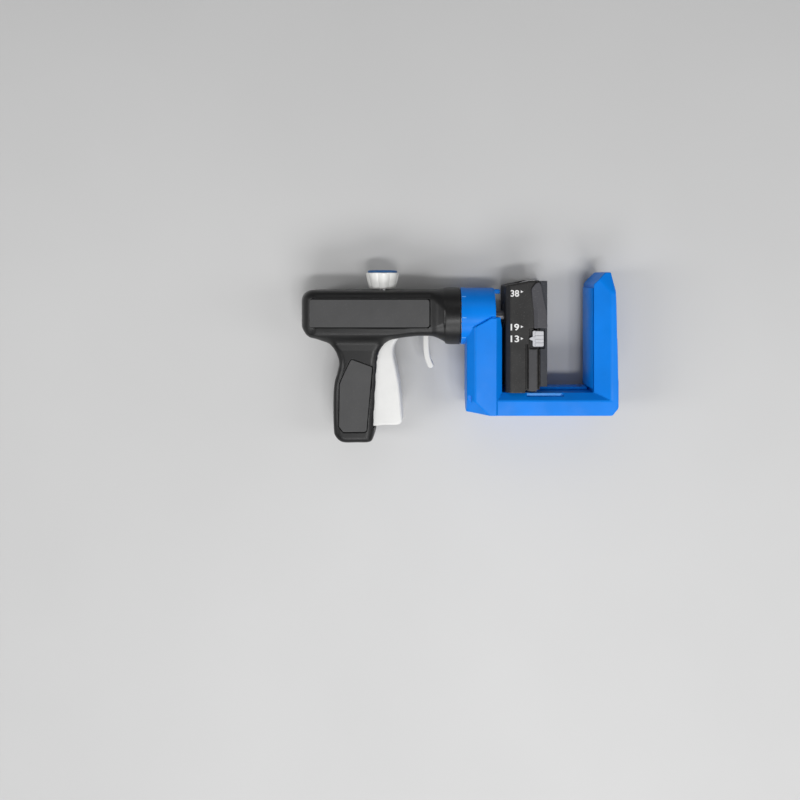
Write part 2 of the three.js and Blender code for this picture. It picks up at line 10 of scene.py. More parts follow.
import bmesh
import bpy
import numpy as np
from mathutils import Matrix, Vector


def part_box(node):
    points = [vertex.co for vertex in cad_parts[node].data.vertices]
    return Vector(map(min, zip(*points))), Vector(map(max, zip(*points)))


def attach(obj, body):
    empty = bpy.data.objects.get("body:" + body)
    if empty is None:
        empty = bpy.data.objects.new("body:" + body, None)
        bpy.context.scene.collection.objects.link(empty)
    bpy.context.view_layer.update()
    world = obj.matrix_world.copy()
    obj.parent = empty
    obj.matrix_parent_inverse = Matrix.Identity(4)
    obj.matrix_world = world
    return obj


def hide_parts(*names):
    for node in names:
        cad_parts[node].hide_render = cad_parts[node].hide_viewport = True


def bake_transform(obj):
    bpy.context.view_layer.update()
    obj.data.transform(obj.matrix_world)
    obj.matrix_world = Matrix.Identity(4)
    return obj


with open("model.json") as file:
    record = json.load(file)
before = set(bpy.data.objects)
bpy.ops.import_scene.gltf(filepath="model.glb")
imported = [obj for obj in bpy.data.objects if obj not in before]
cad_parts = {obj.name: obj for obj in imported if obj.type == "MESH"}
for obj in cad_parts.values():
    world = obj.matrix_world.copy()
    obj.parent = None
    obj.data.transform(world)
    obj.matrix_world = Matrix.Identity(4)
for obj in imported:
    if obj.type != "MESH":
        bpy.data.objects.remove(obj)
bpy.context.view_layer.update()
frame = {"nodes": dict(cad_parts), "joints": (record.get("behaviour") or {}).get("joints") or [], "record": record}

# ---- Driving sizes, in millimetres in the tool's axes ----
MM = 0.001
HEAD_PIVOT_X = 40
JOINTS = {joint["name"]: joint for joint in frame["joints"]}
ORIGIN = np.array(JOINTS["head_turn"]["pos_m"]) - np.array([HEAD_PIVOT_X * MM, 0, 0])
EYE = (0, 38.76, 590)
EYE_LENS = 27.9
EYE_SHIFT = (-0.0425, -0.15625)

REAR_X = -125
NOSE_X = 24.3
FLAT_END_X = -4
COLLAR_X = 10.6
NECK_R = 25.5
BARREL_LOW, BARREL_HIGH = -17.4, 24.6
BARREL_SIDE = 26.4
SEAM = 0.15
LEVER_SLOT = 13.7
LEVER_PIVOT = (-33, -10)
TRIGGER_PIVOT = (-7.5, -14)
KNOB_X = -49
RAM_R = 5

HUB_R = 26.7
HUB_BACK, HUB_FRONT = 24.8, 56.6
HALF_THICK = 27
WALL = 20
BEVEL_RISE = HALF_THICK - WALL

CORNER_R = 8.5
PANEL_MID = (-58.6, 3.8)
SLIDER_Y = -19.2
BUSH_TOP = (88.5, 31)
BUSH_Z = 9.5
LEAN = math.radians(15)

GRIP_OUTLINE = [
    (-109, -14), (-106.5, -20.6), (-97.4, -25.3), (-91.2, -34), (-88.6, -43.4), (-90.2, -51.9),
    (-93.1, -62.8), (-94, -79.6), (-93.6, -103.8), (-92, -111.5), (-85.5, -117.1), (-72, -117.5),
    (-59.5, -116.8), (-56.2, -110.5), (-55.4, -101), (-53.2, -62), (-51.4, -39.3), (-48.4, -29.5),
    (-41.7, -21.6), (-31, -17.2), (-26, -12),
]
GRIP_HALF = (
    [-119, -104, -80, -63, -43, -31, -25, -20.5, -15],
    [17.4, 17.6, 17.6, 17.5, 17.3, 17.6, 18.8, 20.5, 23],
)
GRIP_PANEL = [
    (-75.4, -41.8), (-59.4, -47.6), (-64.4, -104), (-82.8, -104.3), (-85.6, -100.6), (-85, -62.6),
    (-80.9, -53),
]
GRIP_ROOM = [
    (-27, -12), (-27, -17.5), (-40, -23), (-47, -32), (-40, -36), (-40, -104.5), (-86, -104.5),
    (-88.5, -80), (-86, -60), (-82, -46), (-66, -30), (-58, -12),
]
LEVER_OUTLINE = [
    (-28.9, -12), (-30.4, -18), (-34.5, -22.4), (-37.3, -28.1), (-37.6, -35.3), (-36.4, -41.8),
    (-34.3, -51.4), (-32.2, -63), (-30.8, -75.6), (-29.5, -94), (-30.5, -98.9), (-34.4, -101),
    (-46, -101.2), (-60.6, -100.8), (-60.4, -85), (-59, -60), (-57, -39), (-53.4, -30), (-46.5, -22),
    (-38.5, -13), (-33, -8),
]
FRAME_CORE = [
    (30, -2), (30, -88.7), (31, -89.5), (161, -89.5), (167.9, -81.5), (165.6, 23), (162.6, 41.3),
    (157.6, 41.3), (147, 30.2), (147, -69.4), (62.6, -69.4), (62.6, -2),
]


# ---- Numbers to meshes ----
def smooth_outline(points, steps=5):
    """Rounds an outline: between two neighbours the curve is the cubic that keeps the slopes of both."""
    knots = np.array(points, float)
    before, after, beyond = np.roll(knots, 1, 0), np.roll(knots, -1, 0), np.roll(knots, -2, 0)
    t = (np.arange(steps) / steps)[None, :, None]
    a, b, c, d = (side[:, None, :] for side in (before, knots, after, beyond))
    bend = b + 0.5 * t * (c - a + t * (2 * a - 5 * b + 4 * c - d + t * (3 * (b - c) + d - a)))
    return bend.reshape(-1, 2).tolist()


def to_mesh(name, points, faces, normals=None, crease=None):
    """Sets tool-axis points and equal-sided faces down as a mesh in the frame's metres."""
    mesh = bpy.data.meshes.new(name)
    sides = faces.shape[1]
    mesh.vertices.add(len(points))
    mesh.vertices.foreach_set("co", (points * MM + ORIGIN).astype(np.float32).ravel())
    mesh.loops.add(faces.size)
    mesh.loops.foreach_set("vertex_index", faces.astype(np.int32).ravel())
    mesh.polygons.add(len(faces))
    mesh.polygons.foreach_set("loop_start", np.arange(0, faces.size, sides, dtype=np.int32))
    mesh.polygons.foreach_set("use_smooth", np.ones(len(faces), bool))
    mesh.update(calc_edges=True)
    mesh.validate()
    if normals is not None:
        mesh.normals_split_custom_set_from_vertices(normals.tolist())
    elif crease:
        mesh.set_sharp_from_angle(angle=math.radians(crease))
    return mesh


def finish_piece(name, mesh, body, slot, material, nodes=()):
    """Makes the object, gives it its material, hangs it on its body and hides the solids it stands for."""
    piece = bpy.data.objects.new(name, mesh)
    bpy.context.scene.collection.objects.link(piece)
    mesh.materials.clear()
    mesh.materials.append(material)
    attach(piece, body)
    if nodes:
        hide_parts(*nodes)
    return piece


def grid_faces(rows, columns, close_rows=False, close_columns=True):
    """Quads between neighbouring points of a grid, wrapped round where a direction is closed."""
    r = np.arange(rows if close_rows else rows - 1)
    c = np.arange(columns if close_columns else columns - 1)
    r, c = (a.ravel() for a in np.meshgrid(r, c, indexing="ij"))
    r2, c2 = (r + 1) % rows, (c + 1) % columns
    return np.stack([r * columns + c, r * columns + c2, r2 * columns + c2, r2 * columns + c], 1)


def turned(name, profile, axis, centre, sides=96, crease=35):
    """A surface of revolution: profile (radius, place) times the angle round the axis through centre."""
    profile = np.array(profile, float)
    angle = np.arange(sides) / sides * 2 * np.pi
    radius, place = np.maximum(profile[:, 0], 0.02)[:, None], profile[:, 1][:, None]
    ring = [radius * np.cos(angle), radius * np.sin(angle), place + 0 * angle]
    order = {"x": (2, 0, 1), "y": (1, 2, 0), "z": (0, 1, 2)}[axis]
    points = np.stack([ring[i] for i in order], -1).reshape(-1, 3) + np.array(centre)
    closed = bool(profile[0, 0] > 0.02)
    faces = grid_faces(len(profile), sides, close_rows=closed)
    mesh = to_mesh(name, points, faces, crease=crease)
    outward(mesh)
    return mesh


def outward(mesh):
    """Closes doubled points and turns every face outwards."""
    work = bmesh.new()
    work.from_mesh(mesh)
    bmesh.ops.remove_doubles(work, verts=work.verts, dist=2e-6)
    bmesh.ops.holes_fill(work, edges=work.edges, sides=0)
    bmesh.ops.recalc_face_normals(work, faces=work.faces)
    work.to_mesh(mesh)
    work.free()
    return mesh


def soften_profile(corners, r=0.4, steps=3):
    """Rounds each inner corner of an open profile by an arc of about radius r, as a short curve."""
    corners = np.array(corners, float)
    out = [corners[0]]
    for before, here, after in zip(corners[:-2], corners[1:-1], corners[2:]):
        reach = min(r, *(np.linalg.norm(side - here) / 2 for side in (before, after)))
        start = here + (before - here) / np.linalg.norm(before - here) * reach
        end = here + (after - here) / np.linalg.norm(after - here) * reach
        t = np.linspace(0, 1, steps + 1)[:, None]
        out.extend((1 - t) ** 2 * start + 2 * t * (1 - t) * here + t ** 2 * end)
    out.append(corners[-1])
    return np.array(out)


def mould(name, field, low, high, step):
    """The skin where a field is zero (below zero is material), found cell by cell on a regular grid.

    Each cell that the skin crosses holds one point, the middle of the crossings on its twelve edges.
    Each grid edge that the skin crosses makes one quad of the four cells round it. Then every point
    slides along the field's slope until the field there is zero, and the slope gives its normal. All
    faces are turned over together if they point against the slope.
    """
    axes = [np.arange(a - 2 * step, b + 3 * step, step) for a, b in zip(low, high)]
    grid = [axes[0][:, None, None], axes[1][None, :, None], axes[2][None, None, :]]
    value = (field(*grid) + np.zeros([len(a) for a in axes])).astype(np.float32)
    inside = value < 0
    cells = tuple(n - 1 for n in value.shape)
    total = np.zeros(cells + (3,), np.float32)
    count = np.zeros(cells, np.int16)
    crossings = []
    for a in range(3):
        near = [slice(None)] * 3
        far = [slice(None)] * 3
        near[a], far[a] = slice(None, -1), slice(1, None)
        changed = inside[tuple(near)] != inside[tuple(far)]
        at = np.argwhere(changed)
        v0, v1 = value[tuple(near)][changed], value[tuple(far)][changed]
        spot = at.astype(np.float32)
        spot[:, a] += v0 / (v0 - v1)
        b, c = (a + 1) % 3, (a + 2) % 3
        corner = []
        for db, dc in ((0, 0), (1, 0), (1, 1), (0, 1)):
            cell = at.copy()
            cell[:, b] -= db
            cell[:, c] -= dc
            np.add.at(total, tuple(cell.T), spot)
            np.add.at(count, tuple(cell.T), 1)
            corner.append(cell)
        crossings.append((corner, v0 < 0))
    used = count > 0
    number = np.full(cells, -1, np.int64)
    number[used] = np.arange(used.sum())
    points = total[used] / count[used][:, None] * step + np.array([a[0] for a in axes], np.float32)
    faces = []
    for corner, leaving in crossings:
        quad = np.stack([number[tuple(cell.T)] for cell in corner], 1)
        faces.append(np.where(leaving[:, None], quad[:, ::-1], quad)[:, ::-1])
    points = points.astype(float)
    start = points.copy()
    reach = 0.7 * step
    for _ in range(4):
        here, slope = slope_at(field, points)
        size = np.maximum((slope ** 2).sum(1, keepdims=True), 0.05)
        points = start + np.clip(points - here[:, None] * slope / size - start, -reach, reach)
    slope = slope_at(field, points)[1]
    normals = slope / np.maximum(np.linalg.norm(slope, axis=1, keepdims=True), 1e-6)
    faces = np.concatenate(faces)
    a, b, c = (points[faces[:, i]] for i in range(3))
    agree = (np.cross(b - a, c - a) * normals[faces[:, 0]]).sum()
    return to_mesh(name, points, faces if agree > 0 else faces[:, ::-1], normals)


def slope_at(field, points, small=0.05):
    """A field's value and its slope at scattered points, by small steps each way."""
    x, y, z = points.T
    slope = np.stack([
        field(x + small, y, z) - field(x - small, y, z),
        field(x, y + small, z) - field(x, y - small, z),
        field(x, y, z + small) - field(x, y, z - small),
    ], 1) / (2 * small)
    return field(x, y, z), slope


# ---- Fields: distances in millimetres, below zero inside the material ----
def both(a, b, r=0.6):
    """Where both fields hold, with the outer edge between them rounded by r."""
    return np.hypot(np.maximum(a + r, 0), np.maximum(b + r, 0)) + np.minimum(np.maximum(a, b) + r, 0) - r


def either(a, b, r=1.0):
    """Where either field holds, with a hollow fillet of about r between them."""
    near = np.maximum(r - np.abs(a - b), 0) / r
    return np.minimum(a, b) - near * near * r / 4


def without(a, b, r=0.4):
    """The first field with the second cut out of it, its new edge rounded by r."""
    return both(a, -b, r)


def block_of(x, y, z, spans, r=0.6):
    """A box between three pairs of limits, with rounded edges."""
    away = [np.abs(v - (lo + hi) / 2) - (hi - lo) / 2 for v, (lo, hi) in zip((x, y, z), spans)]
    return both(both(away[0], away[1], r), away[2], r)


def round_rect(a, b, half_a, half_b, r):
    """Distance to a rectangle with corners of radius r, in two directions."""
    qa, qb = np.abs(a) - half_a + r, np.abs(b) - half_b + r
    return np.hypot(np.maximum(qa, 0), np.maximum(qb, 0)) + np.minimum(np.maximum(qa, qb), 0) - r


def bar_x(x, y, z, r, span, centre=(0, 0), edge=0.4):
    """A round bar along x."""
    return both(np.hypot(y - centre[0], z - centre[1]) - r, np.maximum(span[0] - x, x - span[1]), edge)


def bar_z(x, y, z, r, span, centre, edge=0.4):
    """A round bar along z."""
    return both(np.hypot(x - centre[0], y - centre[1]) - r, np.maximum(span[0] - z, z - span[1]), edge)


def outline_field(x, y, points):
    """Distance to a closed outline: to the nearest point of its sides, below zero inside."""
    nearest, inside = None, False
    for (x1, y1), (x2, y2) in zip(points, points[1:] + points[:1]):
        ex, ey = x2 - x1, y2 - y1
        along = np.clip(((x - x1) * ex + (y - y1) * ey) / (ex * ex + ey * ey), 0, 1)
        gap = (x - x1 - ex * along) ** 2 + (y - y1 - ey * along) ** 2
        nearest = gap if nearest is None else np.minimum(nearest, gap)
        if ey:
            inside = inside ^ (((y1 > y) != (y2 > y)) & (x < ex * (y - y1) / ey + x1))
    return np.where(inside, -1, 1) * np.sqrt(nearest)


# ---- Materials ----
def node_material(name, colour, rough=0.5, metal=0.0):
    """A material whose shader sockets hold what is the same all over, ready for its pattern."""
    material = bpy.data.materials.new(name)
    material.use_nodes = True
    shader = material.node_tree.nodes["Principled BSDF"]
    shader.inputs["Base Color"].default_value = (*colour, 1)
    shader.inputs["Roughness"].default_value = rough
    shader.inputs["Metallic"].default_value = metal
    return material, material.node_tree.nodes, material.node_tree.links, shader


def noise(nodes, links, scale, detail=4.0, stretch=None):
    """A noise pattern in object space; stretch scales its three directions."""
    place = nodes.new("ShaderNodeTexCoord")
    found = nodes.new("ShaderNodeTexNoise")
    found.inputs["Scale"].default_value = scale
    found.inputs["Detail"].default_value = detail
    source = place.outputs["Object"]
    if stretch:
        mapping = nodes.new("ShaderNodeMapping")
        mapping.inputs["Scale"].default_value = stretch
        links.new(source, mapping.inputs["Vector"])
        source = mapping.outputs["Vector"]
    links.new(source, found.inputs["Vector"])
    return found.outputs["Fac"]


def ramp(nodes, links, source, stops):
    """Maps a value through colour or grey stops of (place, colour)."""
    made = nodes.new("ShaderNodeValToRGB")
    elements = made.color_ramp.elements
    while len(elements) < len(stops):
        elements.new(0.5)
    for element, (place, colour) in zip(elements, stops):
        element.position = place
        element.color = (*colour, 1) if len(colour) == 3 else (colour[0],) * 3 + (1,)
    links.new(source, made.inputs["Fac"])
    return made.outputs["Color"]


def mixed(nodes, links, factor, a, b):
    """A colour between a and b by factor; a and b are sockets or colours."""
    mix = nodes.new("ShaderNodeMix")
    mix.data_type = "RGBA"
    links.new(factor, mix.inputs["Factor"])
    for value, socket in ((a, mix.inputs["A"]), (b, mix.inputs["B"])):
        if isinstance(value, tuple):
            socket.default_value = (*value, 1)
        else:
            links.new(value, socket)
    return mix.outputs["Result"]


def bumped(nodes, links, shader, layers):
    """Chains bump layers of (height socket, strength, distance) into the shader's normal."""
    previous = None
    for height, strength, distance in layers:
        bump = nodes.new("ShaderNodeBump")
        bump.inputs["Strength"].default_value = strength
        bump.inputs["Distance"].default_value = distance
        links.new(height, bump.inputs["Height"])
        if previous:
            links.new(previous, bump.inputs["Normal"])
        previous = bump.outputs["Normal"]
    links.new(previous, shader.inputs["Normal"])


def edge_mask(nodes, links, low=0.52, high=0.6):
    """Bright where the surface turns sharply outwards, for rubbed edges."""
    geometry = nodes.new("ShaderNodeNewGeometry")
    return ramp(nodes, links, geometry.outputs["Pointiness"], [(low, (0,)), (high, (1,))])


def moulded(name, colour, worn, rough, grain, grain_depth, wear, dust=0.0, shine=0.5):
    """Moulded plastic: slow colour drift, a fine spark-eroded grain, rubbed edges and a little dust."""
    material, nodes, links, shader = node_material(name, colour)
    shader.inputs["Specular IOR Level"].default_value = shine
    drift = noise(nodes, links, 28, 5)
    darker = tuple(c * 0.92 for c in colour)
    lighter = tuple(min(1, c * 1.07) for c in colour)
    base = ramp(nodes, links, drift, [(0.3, darker), (0.7, lighter)])
    breakup = noise(nodes, links, 420, 8)
    edge = nodes.new("ShaderNodeMath")
    edge.operation = "MULTIPLY"
    links.new(edge_mask(nodes, links), edge.inputs[0])
    links.new(ramp(nodes, links, breakup, [(0.42, (0,)), (0.62, (wear,))]), edge.inputs[1])
    base = mixed(nodes, links, edge.outputs[0], base, worn)
    if dust:
        specks = ramp(nodes, links, noise(nodes, links, 900, 6), [(0.6, (0,)), (0.78, (dust,))])
        base = mixed(nodes, links, specks, base, (0.42, 0.4, 0.38))
    links.new(base, shader.inputs["Base Color"])
    sheen = noise(nodes, links, 60, 6)
    links.new(ramp(nodes, links, sheen, [(0.3, (rough[0],)), (0.7, (rough[1],))]), shader.inputs["Roughness"])
    bumped(nodes, links, shader, [
        (noise(nodes, links, grain, 3), 0.35, grain_depth), (noise(nodes, links, 45, 2), 0.12, 0.0004),
    ])
    return material


def metal(name, colour, rough=(0.2, 0.34), stretch=(3, 400, 400), scratch=0.00001):
    """Machined metal: fine lines, a slow tone drift and rubbed edges."""

    def shade(factor):
        return tuple(min(1, c * factor) for c in colour)

    material, nodes, links, shader = node_material(name, colour, metal=1.0)
    lines = noise(nodes, links, 12, 6, stretch)
    tone = noise(nodes, links, 90, 5)
    base = ramp(nodes, links, tone, [(0.3, shade(0.82)), (0.7, shade(1.1))])
    rubbed = mixed(nodes, links, edge_mask(nodes, links), base, shade(1.5))
    links.new(rubbed, shader.inputs["Base Color"])
    links.new(ramp(nodes, links, lines, [(0.3, (rough[0],)), (0.7, (rough[1],))]), shader.inputs["Roughness"])
    bumped(nodes, links, shader, [(lines, 0.3, scratch)])
    return material


# Name, colour, rubbed colour, lowest and highest roughness; then the grain, wear, dust and shine.
BLACK = moulded(
    "black_shell_plastic", (0.005, 0.005, 0.0053), (0.05, 0.05, 0.05), (0.33, 0.43),
    grain=2300, grain_depth=0.00006, wear=0.3, dust=0.05, shine=0.38)
RUBBER = moulded(
    "grey_side_rubber", (0.06, 0.06, 0.061), (0.11, 0.11, 0.11), (0.74, 0.86),
    grain=3200, grain_depth=0.00009, wear=0.3, dust=0.08)
BLUE = moulded(
    "blue_frame_plastic", (0.0004, 0.2, 0.76), (0.008, 0.31, 0.9), (0.3, 0.42),
    grain=2100, grain_depth=0.00003, wear=0.4, dust=0.01, shine=0.13)
# A paler copy of the frame's blue: a painted highlight for the lit top edge of the bar's inner wall.
LEDGE_HIGHLIGHT_BLUE = moulded(
    "painted_highlight_blue_plastic", (0.02, 0.3, 0.84), (0.1, 0.42, 0.9), (0.4, 0.5),
    grain=2100, grain_depth=0.00002, wear=0.3)
TICK = moulded(
    "pale_index_print", (0.12, 0.42, 0.92), (0.2, 0.5, 0.95), (0.3, 0.42),
    grain=2100, grain_depth=0.00002, wear=0.2)
CAP_BLUE = moulded(
    "blue_cap_plastic", (0.006, 0.1, 0.3), (0.05, 0.2, 0.5), (0.3, 0.4),
    grain=2100, grain_depth=0.00003, wear=0.4)
WHITE = moulded(
    "white_lever_plastic", (0.68, 0.68, 0.67), (0.76, 0.76, 0.75), (0.42, 0.52),
    grain=2000, grain_depth=0.00003, wear=0.2)
SLIDER_GREY = moulded(
    "pale_slider_plastic", (0.5, 0.505, 0.53), (0.62, 0.62, 0.64), (0.42, 0.52),
    grain=2000, grain_depth=0.00003, wear=0.2)
SATIN = moulded(
    "light_knob_plastic", (0.76, 0.76, 0.74), (0.84, 0.84, 0.82), (0.2, 0.3),
    grain=1800, grain_depth=0.00002, wear=0.3)
GUIDE = moulded(
    "charcoal_guide_plastic", (0.0125, 0.012, 0.012), (0.13, 0.12, 0.115), (0.5, 0.64),
    grain=1500, grain_depth=0.00008, wear=0.6, dust=0.12, shine=0.4)
STRIP = moulded(
    "grey_strip_rubber", (0.046, 0.046, 0.05), (0.16, 0.16, 0.17), (0.66, 0.8),
    grain=1900, grain_depth=0.00007, wear=0.4, dust=0.15)
COVER = moulded(
    "graphite_cover_plastic", (0.042, 0.042, 0.05), (0.16, 0.16, 0.17), (0.5, 0.62),
    grain=1700, grain_depth=0.00006, wear=0.5, dust=0.15)
PAD = moulded(
    "slate_face_rubber", (0.026, 0.029, 0.037), (0.12, 0.12, 0.13), (0.66, 0.8),
    grain=1900, grain_depth=0.00008, wear=0.4, dust=0.2)
ACETAL = moulded(
    "natural_bearing_plastic", (0.66, 0.65, 0.58), (0.75, 0.74, 0.68), (0.32, 0.42),
    grain=1500, grain_depth=0.00002, wear=0.2)
PRINT = moulded(
    "white_scale_print", (0.78, 0.78, 0.78), (0.6, 0.6, 0.6), (0.5, 0.6),
    grain=2600, grain_depth=0.00002, wear=0.1)
STEEL = metal("ground_steel", (0.56, 0.56, 0.57))
WIRE = metal("drawn_spring_wire", (0.4, 0.4, 0.42), (0.24, 0.36), (400, 400, 400))
DARK_STEEL = metal("blackened_steel", (0.13, 0.13, 0.14), (0.34, 0.5), (60, 60, 60), 0.00003)
BRONZE = metal("sintered_bronze", (0.5, 0.34, 0.16), (0.38, 0.52), (160, 160, 160), 0.00004)
SLOT_MATERIALS = {
    "housing": BLACK, "rubber": RUBBER, "blue_plastic": BLUE, "white_plastic": WHITE, "knob_satin": SATIN,
    "guide_plastic": GUIDE, "bright_steel": STEEL, "spring_steel": WIRE, "dark_steel": DARK_STEEL,
    "bronze": BRONZE, "acetal": ACETAL,
}


# ---- Housing shells, their panels and screws ----
GRIP_CURVE = smooth_outline(GRIP_OUTLINE, 4)
VISIBLE_SCREWS = [(-88, -17.5, 4), (-77, -29, 5), (-74, -112, 6)]


def shell_outside(x, y, z):
    """Barrel and grip with a soft web between them.

    The barrel's section is a rounded rectangle that steps down behind the panel and turns into a circle,
    and a slightly larger collar closes it at the front. The grip is its side outline given thickness,
    with soft edges.
    """
    t = np.clip((x - FLAT_END_X) / (NOSE_X - 7 - FLAT_END_X), 0, 1)
    t = t * t * (3 - 2 * t)
    drop = np.clip((x + 3.6) / 8, 0, 1)
    side = BARREL_SIDE - 1.5 * drop * drop * (3 - 2 * drop)
    half = (BARREL_HIGH - BARREL_LOW) / 2
    middle = (BARREL_HIGH + BARREL_LOW) / 2 * (1 - t)
    corner = CORNER_R + (NECK_R - CORNER_R) * t
    section = round_rect(y - middle, z, half + (BARREL_SIDE - half) * t, side + (NECK_R - side) * t, corner)
    barrel = both(both(section, REAR_X + 0.0125 * z * z - x, 10), x - NOSE_X, 0.5)
    round_off = np.hypot(y, z) - BARREL_SIDE
    collar = both(round_off, np.maximum((COLLAR_X - x - 0.35 * round_off) * 0.9, x - NOSE_X), 0.7)
    barrel = both(either(barrel, collar, 2.4), x - NOSE_X, 0.4)
    grip = both(outline_field(x, y, GRIP_CURVE), np.abs(z) - np.interp(y, *GRIP_HALF), 7)
    return either(barrel, grip, 9)


def shell_rooms(x, y, z):
    """Everything cut out of the shells: the hollow barrel, bearing seats, and lever and trigger slots."""
    away = np.abs(z)
    rooms = [
        block_of(x, y, z, [(-118.5, 3), (-13.5, 20.5), (-20.5, 20.5)], 7),
        bar_x(x, y, z, 12.5, (2, 11)), bar_x(x, y, z, 19.8, (9.7, 16)), bar_x(x, y, z, 17.3, (15, 40)),
        both(outline_field(x, y, GRIP_ROOM), away - LEVER_SLOT, 0.4),
        block_of(x, y, z, [(-44, -18), (-19, 12), (-LEVER_SLOT, LEVER_SLOT)]),
        block_of(x, y, z, [(-13.5, 2), (-40, -8), (-6, 6)]),
    ]
    stem = np.maximum(np.hypot(x - KNOB_X, z) - 3.6, 10 - y)
    rooms.append(stem)
    return np.minimum.reduce(np.broadcast_arrays(*rooms))


def shell_field(side):
    """One shell: the outside less its rooms, panel pockets and screw wells, on one side of the seam."""
    def field(x, y, z):
        away = np.abs(z)
        pocket = both(round_rect(x - PANEL_MID[0], y - PANEL_MID[1], 55, 13.2, 3), 24.9 - away, 0.2)
        body = without(shell_outside(x, y, z), pocket, 0.35)
        body = without(body, both(outline_field(x, y, GRIP_PANEL) - 2.6, 15.9 - away, 0.2), 0.35)
        if side < 0:
            for sx, sy, _ in VISIBLE_SCREWS:
                body = without(body, bar_z(x, y, z, 3.3, (-40, -11.7), (sx, sy)), 0.5)
        body = without(body, shell_rooms(x, y, z), 0.5)
        return both(body, SEAM - side * z, 0.35)
    return field


def build_shells():
    """Right and left shells, and the grey panels let into them."""
    for name, side in (("right", 1), ("left", -1)):
        span = (0, 27) if side > 0 else (-27, 0)
        mesh = mould(f"shell_{name}", shell_field(side), (-125, -119.5, span[0]), (25, 27, span[1]), 0.95)
        finish_piece(f"shell_{name}", mesh, "handle", "housing", BLACK, [f"housing_{name}"])

        def barrel_pad(x, y, z, side=side):
            along, across = x - PANEL_MID[0], y - PANEL_MID[1]
            crown = 26.98 - 0.00006 * along ** 2 - 0.0012 * across ** 2
            outline = round_rect(along, across, 54.5, 12.7, 2.6)
            return both(outline, np.maximum(side * z - crown, 25.2 - side * z), 0.35)

        def grip_pad(x, y, z, side=side):
            edge = outline_field(x, y, GRIP_PANEL) - 2.1
            crown = 17.85 + 0.004 * np.minimum(-edge, 9)
            return both(edge, np.maximum(side * z - crown, 16.2 - side * z), 0.4)

        for part, field, low, high in (
            ("barrel", barrel_pad, (-114, -10, 25), (-3, 18, 27)),
            ("grip", grip_pad, (-90, -108, 16), (-56, -38, 18)),
        ):
            depth = sorted((side * low[2], side * high[2]))
            mesh = mould(f"{part}_pad_{name}", field, (*low[:2], depth[0]), (*high[:2], depth[1]), 0.5)
            finish_piece(f"{part}_pad_{name}", mesh, "handle", "rubber", RUBBER, [f"{part}_panel_{name}"])


def build_shell_screws():
    """Pan heads with a six-lobed socket: the lobes are a wave round the socket's edge."""
    for sx, sy, number in VISIBLE_SCREWS:
        def field(x, y, z, sx=sx, sy=sy):
            away = np.hypot(x - sx, y - sy)
            lobes = 1.25 + 0.22 * np.cos(6 * np.arctan2(y - sy, x - sx))
            head = both(away - 2.9, np.maximum(-11.45 - z + 0.03 * away ** 2, z + 8.3), 0.4)
            head = without(head, both(away - lobes, z + 9.9, 0.1), 0.12)
            return either(head, both(away - 1.45, np.maximum(-9 - z, z - 13.4), 0.3), 0.3)

        name = f"shell_screw_{number}"
        mesh = mould(name, field, (sx - 3, sy - 3, -11.6), (sx + 3, sy + 3, 13.6), 0.3)
        finish_piece(name, mesh, "handle", "bright_steel", STEEL, [f"housing_screw_{number}"])


# ---- Blue C-frame ----
def bevel(edge, inset, away):
    """A sloped face: it stands on edge at the wall's height and leans in by inset at the side face."""
    return (edge + inset * (away - WALL) / BEVEL_RISE) / math.hypot(1, inset / BEVEL_RISE)


def frame_field(x, y, z):
    """The C-frame: a core plate, two outer layers with sloped edges, and the round hub on top."""
    away = np.abs(z)
    core = both(outline_field(x, y, FRAME_CORE) + 0.4, away - 10, 0.8)
    right = np.interp(y, [-89, -60, 23, 41.5], [167.9, 167.9, 165.7, 162.7])
    edges = [
        bevel(30 - x, 7.5, away), 30 - x, -89.5 - y, x - right,
        bevel(-0.7 * (x - 36.4) - 0.714 * (y + 75.4) - 5, 5, away),
        0.77 * (x - 168) - 0.64 * (y + 82.5),
        y - 41.3, bevel(y - 41.3, 19, away),
        np.where(x > 110, -0.723 * (x - 147) + 0.69 * (y - 30.2), -9),
    ]
    slab = away - HALF_THICK + 0.04 + np.where(x > 57.3, 0.3, 0)
    for edge in edges:
        slab = both(slab, edge, 0.7)
    over = np.maximum(away - WALL, 0) / BEVEL_RISE
    mouth = np.maximum(
        np.maximum((62.6 - 5.3 * over - x) * 0.8, (x - 147 - 15 * over) * np.where(away > WALL, 0.42, 1)),
        (-69.4 - 6.3 * over - y) * np.where(away > WALL, 0.74, 1))
    slab = without(slab, mouth, 0.7)
    arm_top = np.where(x < 100, np.maximum(-0.481 * (x - 51.3) + 0.878 * y, y - 0.4), -9)
    slab = both(both(slab, arm_top, 0.5), (arm_top + away - 25.9) * 0.707, 0.3)
    ledge = np.maximum(np.abs(x - 102) - 17, np.maximum(-72.3 - y, 20.4 - away))
    notch = np.maximum(np.abs(x - 31.4) - 3.2, np.maximum(np.abs(y + 75.2) - 3.4, 20.8 - away))
    slab = without(without(slab, ledge, 0.3), notch, 0.3)
    body = either(core, slab, 0.8)
    hub = both(np.hypot(y, z) - HUB_R, np.maximum(HUB_BACK - x, x - HUB_FRONT), 0.7)
    body = either(body, hub, 0.5)
    groove = np.maximum(np.abs(arm_top + 0.1) - 0.65, np.maximum(np.maximum(31 - x, x - 58), 25.3 - away))
    body = without(body, groove, 0.15)
    body = either(body, block_of(x, y, z, [(55, 62.3), (21, 25.3), (-6, 6)], 0.8), 0.6)
    body = without(body, bar_x(x, y, z, 20.3, (10, 47.8)), 0.4)
    body = without(body, bar_x(x, y, z, 17.4, (10, 80)), 0.4)
    body = without(body, bar_x(x, y, z, 25.4, (10, 26.6)), 0.3)
    return without(body, bar_x(x, y, z, 21.5, (50.2, 80)), 0.5)


